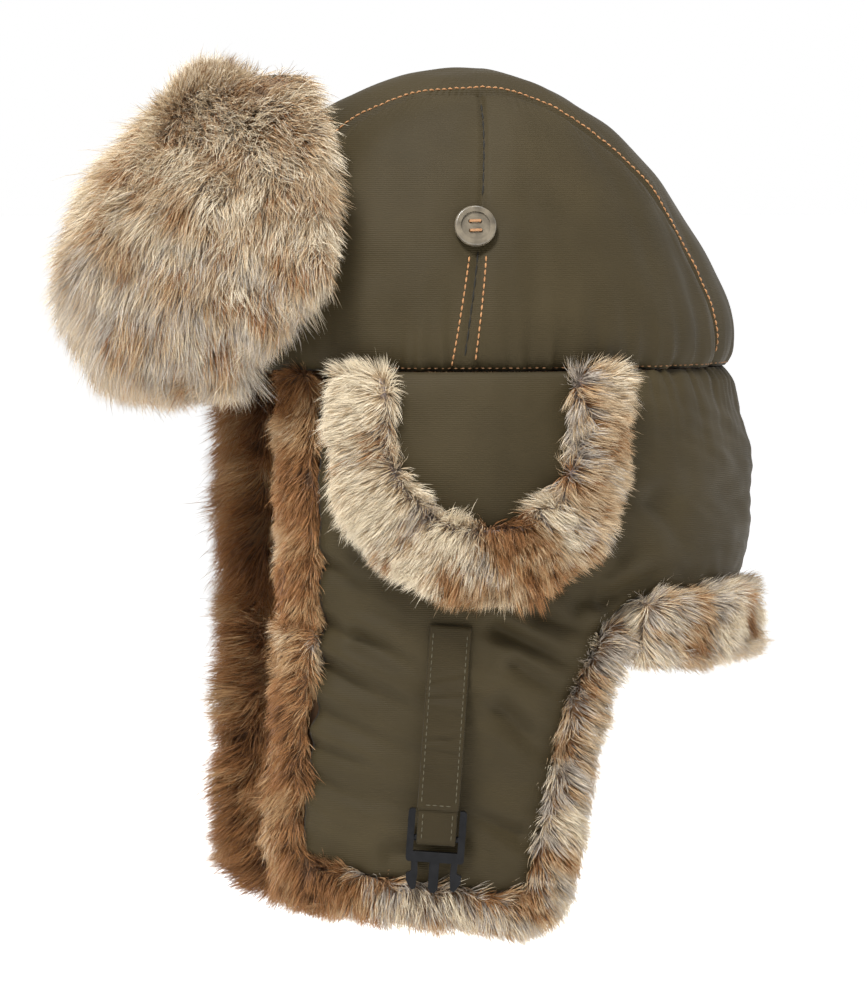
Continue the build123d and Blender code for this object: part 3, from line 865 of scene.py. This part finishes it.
# A strand is a ribbon of two quads and a tip: its stations, half widths, corners and face starts.
STATIONS = (0.0, 0.34, 0.68, 1.0)
TAPER = (0.5, 0.5, 0.34)
STRAND_POINTS = 7
STRAND_FACES = ((0, 1, 3, 2), (2, 3, 5, 4), (4, 5, 6))
STRAND_CORNERS = 11
STRAND_STARTS = (0, 4, 8)
LONG_SHARE, LONG_BY = 0.03, 1.45


def everywhere(points, normals):
    """Fur all over a pelt."""
    return np.ones(len(points))


def strand_mesh(name, line, across, girth):
    """One mesh of ribbons from their middle lines, the way across and their widths."""
    count = len(girth)
    vertices = np.empty((count, STRAND_POINTS, 3))
    for k, taper in enumerate(TAPER):
        vertices[:, 2 * k] = line[k] - across * girth * taper
        vertices[:, 2 * k + 1] = line[k] + across * girth * taper
    vertices[:, -1] = line[-1]
    base = (np.arange(count) * STRAND_POINTS)[:, None]
    loops = np.concatenate([base + np.array(face) for face in STRAND_FACES], axis=1)
    starts = (np.arange(count) * STRAND_CORNERS)[:, None] + np.array(STRAND_STARTS)
    mesh = bpy.data.meshes.new(name)
    mesh.vertices.add(count * STRAND_POINTS)
    mesh.vertices.foreach_set("co", vertices.ravel())
    mesh.loops.add(count * STRAND_CORNERS)
    mesh.loops.foreach_set("vertex_index", loops.ravel().astype(np.int32))
    mesh.polygons.add(count * len(STRAND_FACES))
    mesh.polygons.foreach_set("loop_start", starts.ravel().astype(np.int32))
    return mesh


def fur(name, piece, count, length, comb, palette, seed, moves, keep=everywhere,
        width=0.28 * MM, clump=0.6, clump_every=40, lie=0.6, longer=None):
    """Tapered, curved strands over a pelt, in tufts, with a tone that changes along each strand."""
    rng = np.random.default_rng(seed)
    roots, normals = sample_surface(piece, count, rng, keep)
    flow = comb(roots, normals)
    flow = unit(flow - normals * np.sum(flow * normals, axis=1)[:, None])
    drift = smooth_noise(roots, 55, seed)
    fine = rng.normal(size=(count, 3))
    lean = np.clip(lie + 0.14 * rng.normal(size=count), 0.1, 0.95)[:, None]
    start = unit(normals * (1.15 - lean) + flow * lean + drift * 0.35 + fine * 0.12)
    end = unit(normals * (0.75 - 0.7 * lean) + flow * (lean + 0.35) + drift * 0.55 + fine * 0.22)
    reach = length * (0.72 + 0.38 * rng.random(count)) * (1 + 0.25 * drift[:, 0])
    reach[rng.random(count) < LONG_SHARE] *= LONG_BY
    if longer:
        reach *= longer(roots)
    tips = roots + (start * 0.45 + end * 0.55) * reach[:, None]
    heads = rng.choice(count, size=max(count // clump_every, 1), replace=False)
    tree = kdtree.KDTree(len(heads))
    for index, head in enumerate(heads):
        tree.insert(roots[head], index)
    tree.balance()
    nearest = heads[np.array([tree.find(root)[1] for root in roots])]
    pull = (clump * (0.5 + 0.5 * rng.random(count)))[:, None]
    tips = tips * (1 - pull) + (tips[nearest] + (roots - roots[nearest]) * 0.25) * pull
    tips = np.clip(tips, TIP_LOW, TIP_HIGH)
    middles = roots + start * (reach * 0.5)[:, None]
    middles = middles * (1 - 0.35 * pull) + 0.35 * pull * (roots * 0.5 + tips * 0.5)
    line = [(1 - t) ** 2 * roots + (2 * t * (1 - t)) * middles + t * t * tips for t in STATIONS]
    along = unit(tips - roots)
    across = unit(np.cross(along, unit(rng.normal(size=(count, 3)))))
    girth = width * (0.75 + 0.5 * rng.random(count))[:, None]
    mesh = strand_mesh(name, line, across, girth)
    mood = 0.9 * drift[:, 2] + 0.5 * rng.random(count)[nearest] + 0.3 * rng.random(count)
    draw = np.empty(count)
    draw[np.argsort(mood)] = (np.arange(count) + 0.5) / count
    tones = palette(roots, drift, draw)
    mesh.polygons.foreach_set("material_index", tones.ravel().astype(np.int32))
    strands = new_object(name, mesh, HAIRS)
    mesh.validate()
    declare(strands, moves)


def pick_tones(weights, triples, draw):
    """Choose a root, middle and tip tone for each strand from weighted triples."""
    weights = np.maximum(np.array(weights), 0).T + 1e-6
    weights = weights / weights.sum(axis=1, keepdims=True)
    index = (draw[:, None] > np.cumsum(weights, axis=1)).sum(axis=1)
    return np.array(triples)[np.minimum(index, len(triples) - 1)]


BROWN_COATS = ((UMBER, CHESTNUT, GINGER), (CHESTNUT, GINGER, GINGER), (CHESTNUT, GINGER, FAWN),
               (GINGER, FAWN, FAWN))
AGOUTI_COATS = ((CHESTNUT, GINGER, TAN), (CHESTNUT, FAWN, TAN), (GINGER, TAN, SAND),
                (ASH, TAN, SAND))
GREY_COATS = ((SLATE, ASH, SMOKE), (ASH, SMOKE, SMOKE), (ASH, SMOKE, SILVER), (ASH, SMOKE, SAND))
CREAM_COATS = ((ASH, SAND, CREAM), (TAN, SAND, CREAM), (SAND, CREAM, CREAM))


def coat(shares):
    """A palette from a function that gives brown, agouti, grey and cream shares at each root."""
    families = (BROWN_COATS, AGOUTI_COATS, GREY_COATS, CREAM_COATS)

    def palette(roots, drift, draw):
        weights, triples = [], []
        for share, family in zip(shares(roots, drift), families):
            for triple in family:
                weights.append(np.broadcast_to(share, (len(roots),)))
                triples.append(triple)
        return pick_tones(weights, triples, draw)
    return palette


def brown_shares(seed):
    """Mostly brown fur with agouti patches."""
    def shares(roots, drift):
        patches = rise(smooth_noise(roots, 24, seed)[:, 0], 0.0, 0.35)
        return 1.3, 0.06 + 0.12 * patches, 0.0, 0.0
    return shares


# The far side's fur is longer and combed forward, where it shows past the near side. For each
# side: how far forward it is combed, and its length.
FLAP_COMB = {1: (0.0, 13 * MM), -1: (-2.4, 23 * MM)}
ROLL_COMB = {1: (-0.4, 11 * MM), -1: (-1.8, 25 * MM)}


def rise(values, low, high):
    """Zero below low, one above high, smooth between."""
    t = np.clip((values - low) / (high - low), 0, 1)
    return t * t * (3 - 2 * t)


def make_front_flap():
    """The standing front flap: lumpy pelt, fabric back and long two-tone fur."""
    skin = pelt("front_flap_pelt", ["front_flap_fur", "front_flap_wadding"], PELT_TAN, 3.0 * MM,
                "front_flap", voxel=3.2 * MM, lumps=3.5 * MM)
    pelt("front_flap_back_cloth", ["front_flap_backing"], OLIVE, -0.6 * MM, "front_flap",
         voxel=1.2 * MM, lumps=0.8 * MM)

    def comb(roots, normals):
        centre = np.array((0, -0.145, 0.075))
        away = unit(roots - centre)
        swirl = smooth_noise(roots, 16, 31)
        return away * 0.9 + np.array((0, -0.15, -0.75)) + swirl * 0.8

    def shares(roots, drift):
        low = 1 - rise(roots[:, 2] + 0.3 * (roots[:, 1] + 0.14) + 0.03 * drift[:, 0], 0.02, 0.085)
        return 0.10 - 0.05 * low, 1.2 - 0.6 * low, 0.1 + 1.1 * low, 1.3 - 1.05 * low

    def outer(points, normals):
        behind = (points[:, 1] > -0.118) & (np.abs(points[:, 0]) < 0.055)
        return np.where(behind, 0.1, 1.0)

    def longer(roots):
        ahead = 1 - rise(roots[:, 1], -0.175, -0.135)
        low = 1 - rise(roots[:, 2], -0.002, 0.045)
        high = rise(roots[:, 2], 0.105, 0.13)
        return 1 + 0.45 * ahead * (1 - high) * rise(roots[:, 2], -0.03, 0.02) + 0.2 * low

    for part in range(4):
        fur(f"front_flap_hair_{part}", skin, 34000, 17.5 * MM, comb, coat(shares), 100 + part,
            "front_flap", keep=outer, clump_every=48, width=0.29 * MM,
            longer=longer)


COVER_MIDDLE = -21 * MM
COVER_HALF = 42 * MM
COVER_STRAIGHT = 27 * MM
COVER_TOP = -0.6 * MM


def make_cover(side, sign):
    """One ear cover: padded fabric half-disc with its wide fur edge."""
    outline = [(COVER_MIDDLE - COVER_HALF, COVER_TOP)]
    outline += [(COVER_MIDDLE - COVER_HALF * math.cos(math.pi * k / 60),
                 -COVER_STRAIGHT - COVER_HALF * math.sin(math.pi * k / 60)) for k in range(61)]
    outline += [(COVER_MIDDLE + COVER_HALF, COVER_TOP)]
    outline = spaced(outline, 1.6 * MM)

    def place(y, z, distance):
        base, out = skirt_side(y, z, -2.6 * MM)
        swell = 2.6 * MM * (1 - math.exp(-distance / (11 * MM)))
        swell -= 1.6 * MM * math.exp(z / (4 * MM))
        swell += 0.8 * MM * cloud((y, z, 0.7), 38) + 0.5 * MM * cloud((y, z * 0.4, 0.9), 90)
        return base + out * swell

    mesh = thicken(patch(f"ear_cover_fabric_{side}", outline, place, PATCH_SPACING), COVER_THICK)
    if sign < 0:
        mesh = mirrored(mesh)
    bend = hinge_bend(f"ear_cover_{side}", sign, 0.0, -16 * MM)
    panel = new_object(f"ear_cover_fabric_{side}", mesh, [OLIVE])
    declare(panel, bend, [f"ear_cover_panel_{side}"])
    trim = pelt(f"ear_cover_pelt_{side}", [f"ear_cover_fur_trim_{side}"], PELT_GREY, 0.6 * MM,
                bend, voxel=2.0 * MM, lumps=1.2 * MM)

    def comb(roots, normals):
        away = np.zeros_like(roots)
        down = np.minimum(roots[:, 2] + 0.034, 0)
        away[:, 1] = roots[:, 1] - COVER_MIDDLE
        away[:, 2] = down
        away = unit(away)
        return away * 1.2 + np.array((0, 0, -0.3)) + smooth_noise(roots, 34, 17) * 0.7

    def shares(roots, drift):
        y, z = roots[:, 1], roots[:, 2]
        front = 1 - rise(y + 0.016 * drift[:, 1], -0.056, -0.022)
        foot = (1 - rise(z + 0.016 * drift[:, 0], -0.090, -0.058)) * (1 - 0.75 * front)
        rear = rise(y, -0.010, 0.016) * (1 - foot)
        patches = rise(smooth_noise(roots, 42, 23)[:, 0], 0.08, 0.28)
        return (0.05 + 1.3 * foot, 0.18 + 0.9 * rear + 0.5 * foot,
                0.04 + 0.9 * patches * (1 - foot) * (1 - 0.6 * front), 0.12 + 3.2 * front)

    def outer(points, normals):
        return np.where(normals[:, 0] * sign > -0.25, 1.0, 0.05)

    fur(f"ear_cover_hair_{side}", trim, 38000, 14 * MM, comb, coat(shares), 200 + (sign > 0),
        bend, keep=outer, clump=0.66, clump_every=44)


def make_flap_fur(side, sign):
    """Fur edge and fur lining of one ear flap."""
    bend = hinge_bend(f"ear_flap_{side}", sign, -110 * MM, -136 * MM)
    forward, reach = FLAP_COMB[sign]
    trim = pelt(f"ear_flap_edge_pelt_{side}", [f"ear_flap_fur_trim_{side}"], PELT_BROWN, 0.8 * MM,
                bend, voxel=2.4 * MM)
    lining = pelt(f"ear_flap_lining_pelt_{side}", [f"ear_flap_fur_lining_{side}"], PELT_BROWN,
                  1.2 * MM, bend)

    def comb(roots, normals):
        middle = np.array((sign * 0.09, -0.042, -0.17))
        away = unit(roots - middle)
        away[:, 0] *= 0.3
        front = 1 - rise(roots[:, 1:2], -0.095, -0.070)
        down = np.array((0, 0, -0.7)) + front * np.array((0, forward, 0))
        return away * 0.75 + down + smooth_noise(roots, 26, 41) * 0.6

    def edge_shares(roots, drift):
        rear = rise(roots[:, 1] + 0.006 * drift[:, 0], -0.030, 0.004)
        foot = 1 - rise(roots[:, 2], -0.236, -0.205)
        pale = np.maximum(rear, 0.5 * foot * rise(roots[:, 1], -0.095, -0.045))
        return 1.5 * (1 - pale) + 0.04, 0.12 + 0.6 * pale, 0.9 * pale, 0.5 * pale

    def inner(points, normals):
        return np.where(normals[:, 0] * sign < 0.1, 1.0, 0.0)

    fur(f"ear_flap_edge_hair_{side}", trim, 38000, reach, comb, coat(edge_shares),
        300 + (sign > 0), bend, lie=0.62)
    fur(f"ear_flap_lining_hair_{side}", lining, 34000, reach, comb, coat(brown_shares(5)),
        320 + (sign > 0), bend, keep=inner, clump_every=36, width=0.38 * MM, lie=0.66)


def make_band_fur():
    """Fur inside the band, the rolls beside the face and the trim at the neck."""
    def down(roots, normals):
        return np.array((0, 0, -1.0)) + smooth_noise(roots, 26, 61) * 0.7

    brown = coat(brown_shares(8))
    lining = pelt("band_lining_pelt", ["band_fur_lining"], PELT_BROWN, 1.2 * MM, "hat",
                  voxel=2.8 * MM)

    def inward(points, normals):
        middle = points * np.array((1, 1, 0)) - np.array((0, -0.004, 0))
        return np.where(np.sum(normals * unit(middle), axis=1) < 0.0, 1.0, 0.0)

    fur("band_lining_hair", lining, 36000, 12 * MM, down, brown, 400, "hat",
        keep=inward, clump_every=30, width=0.44 * MM, lie=0.7)
    for side, sign in SIDES:
        ahead, reach = ROLL_COMB[sign]

        def forward(roots, normals, ahead=ahead):
            return np.array((0, ahead, -0.8)) + smooth_noise(roots, 30, 71) * 0.5

        roll = pelt(f"band_roll_pelt_{side}", [f"band_front_fur_roll_{side}"], PELT_BROWN, 0.6 * MM,
                    "hat", voxel=2.0 * MM)
        fur(f"band_roll_hair_{side}", roll, 20000, reach, forward, brown, 420 + (sign > 0), "hat",
            clump_every=34, width=0.29 * MM, lie=0.66)
    neck = pelt("neck_trim_pelt", ["neck_fur_trim"], PELT_TAN, 0.8 * MM, "hat")

    def out_and_down(roots, normals):
        away = roots * np.array((1, 1, 0))
        return unit(away) * 0.75 + np.array((0, 0.25, -0.75)) + smooth_noise(roots, 30, 81) * 0.5

    def pale(roots, drift):
        patches = rise(smooth_noise(roots, 30, 9)[:, 0], -0.1, 0.3)
        return 0.1 + 0.2 * patches, 0.6, 0.8 - 0.35 * patches, 0.5

    fur("neck_trim_hair", neck, 38000, 14 * MM, out_and_down, coat(pale), 440, "hat",
        clump_every=44)


# ---- straps -----------------------------------------------------------------------------------
STRAP_SEAT = Vector((97.7, -35.2, -114.5)) * MM
STRAP_OUT = Vector((0.976, -0.212, -0.027)).normalized()
STRAP_ACROSS = Vector((0.209, 0.975, -0.070))
STRAP_ACROSS = (STRAP_ACROSS - STRAP_OUT * STRAP_ACROSS.dot(STRAP_OUT)).normalized()
STRAP_UP = STRAP_OUT.cross(STRAP_ACROSS)
STRAP_HALF = 9.3 * MM
STRAP_THICK = 0.55 * MM
STRAP_HEM = 1.12
STITCH_INSET = 1.7 * MM
BAR_DROP = 93 * MM
BAR_HEIGHT = 4.9 * MM
LOOP_RADIUS = 2.5 * MM
STRAP_STEP = 1.1 * MM
STRAP_END = -79.2 * MM
LOOP_TAPER = 0.94
CREASE_WIDTH = 1.7 * MM
# Each crease across the strap: height on the strap in millimetres, lean, and depth in millimetres.
STRAP_CREASES = ((-22, 0.25, 0.8), (-29, 0.12, 1.3), (-35, -0.16, 1.0), (-47, 0.18, 1.3), (-53, -0.08, 1.0),
                 (-60, 0.10, 0.7))


def strap_path():
    """Height along the strap's middle line: sewn end, rise, run, loop round the bar, return."""
    high, low = BAR_HEIGHT + LOOP_RADIUS, BAR_HEIGHT - LOOP_RADIUS
    path = [(2 * MM - 14 * MM * t, 0.9 * MM) for t in np.linspace(0, 1, 8)]
    for t in np.linspace(0.04, 1, 36):
        s = t * t * (3 - 2 * t)
        path.append((-12 * MM - 26 * MM * t, 0.9 * MM + (high + STRAP_STEP - 0.9 * MM) * s))
    path += [(up, high + STRAP_STEP) for up in np.linspace(-38.7 * MM, STRAP_END, 62)]
    path += [(up, high) for up in np.linspace(STRAP_END - 0.12 * MM, -BAR_DROP, 14)]
    for k in range(1, 14):
        turn = math.pi * k / 14
        path.append((-BAR_DROP - LOOP_RADIUS * math.sin(turn), BAR_HEIGHT + LOOP_RADIUS * math.cos(turn)))
    path += [(-BAR_DROP + (BAR_DROP - 52 * MM) * t, low) for t in np.linspace(0, 1, 26)]
    return path


def strap_point(across, up, out, sign):
    """A point in the strap's own plane, on the left or the right."""
    p = STRAP_SEAT + STRAP_ACROSS * across + STRAP_UP * up + STRAP_OUT * out
    return Vector((p.x * sign, p.y, p.z))


def strap_crease(x, up):
    """Ridge and groove of each crease across the strap."""
    total = 0.0
    for place, lean, depth in STRAP_CREASES:
        d = (up - place * MM - lean * x) / CREASE_WIDTH
        total += depth * MM * d * math.exp(-d * d)
    return total


def strap_profile():
    """The strap's section: a flat strip with a slight hem at each edge."""
    half, thick = STRAP_HALF, STRAP_THICK
    profile = [(-half, 0), (-half + 0.3 * MM, thick), (-half + 1.2 * MM, thick * STRAP_HEM)]
    profile += [(x, thick) for x in np.linspace(-half + 3 * MM, half - 3 * MM, 10)]
    profile += [(half - 1.2 * MM, thick * STRAP_HEM), (half - 0.3 * MM, thick), (half, 0)]
    return profile + [(x, -thick) for x in np.linspace(half - 0.3 * MM, -half + 0.3 * MM, 12)]


def make_strap(side, sign):
    """A strap of the hat's fabric, looped round the buckle's bar and edge-stitched."""
    path = strap_path()
    rows = []
    for k, (up, out) in enumerate(path):
        after = path[min(k + 1, len(path) - 1)]
        before = path[max(k - 1, 0)]
        slope = Vector((after[0] - before[0], after[1] - before[1])).normalized()
        lift = Vector((slope.y, -slope.x))
        row = []
        narrow = LOOP_TAPER if up < STRAP_END - 0.05 * MM else 1.0
        calm = rise(up, -78 * MM, -66 * MM) * (1 - rise(up, -14 * MM, -4 * MM))
        for x, height in strap_profile():
            x *= narrow
            wave = 0.95 * MM * noise.noise(Vector((x * 34, up * 190 + x * 60, 3))) * calm
            wave += strap_crease(x, up) * calm
            row.append(strap_point(x, up + lift.x * height, out + lift.y * height + wave, sign))
        rows.append(row)
    mesh = grid_mesh(f"strap_cloth_{side}", rows, closed=True)
    work = bmesh.new()
    work.from_mesh(mesh)
    bmesh.ops.holes_fill(work, edges=[e for e in work.edges if e.is_boundary])
    bmesh.ops.recalc_face_normals(work, faces=work.faces)
    work.to_mesh(mesh)
    work.free()
    strap = new_object(f"strap_cloth_{side}", mesh, [STRAP_OLIVE])
    declare(strap, f"strap_{side}", [f"strap_{side}"])
    tree = surface_tree(strap)
    out = Vector((STRAP_OUT.x * sign, STRAP_OUT.y, STRAP_OUT.z))
    wide = STRAP_HALF - STITCH_INSET
    near = wide - MM
    runs = {"front": ((-wide, -1 * MM), (-wide, -78 * MM)), "rear": ((wide, -1 * MM), (wide, -78 * MM)),
            "end": ((-near, -77.8 * MM), (near, -77.8 * MM)),
            "loop_front": ((-near, -81 * MM), (-near, -93 * MM)),
            "loop_rear": ((near, -81 * MM), (near, -93 * MM))}
    for label, (start, end) in runs.items():
        guide = [seat_on(tree, strap_point(start[0] + (end[0] - start[0]) * t,
                                           start[1] + (end[1] - start[1]) * t, 12 * MM, sign), out)
                 for t in np.linspace(0, 1, 90)]
        stitches(f"strap_stitching_{label}_{side}", guide, OLIVE_THREAD, f"strap_{side}",
                 length=2.0 * MM, gap=1.0 * MM, radius=0.24 * MM)


def finish_hardware():
    """Materials for the CAD pieces that stay."""
    looks = {"crown_buttons": HORN, "button_threads": BUTTON_THREAD, "buckle_male_left": BUCKLE,
             "buckle_female_right": BUCKLE, "strap_hook_tape_left": HOOK_TAPE,
             "strap_hook_tape_right": HOOK_TAPE}
    for name, material in looks.items():
        piece = nodes[name]
        for slot in piece.material_slots:
            slot.link = "OBJECT"
            slot.material = material


make_camera()
make_stage()
stitch_crown(make_crown())
make_side_fabric()
make_front_flap()
for this_side, this_sign in SIDES:
    make_cover(this_side, this_sign)
    make_flap_fur(this_side, this_sign)
    make_strap(this_side, this_sign)
make_band_fur()
finish_hardware()
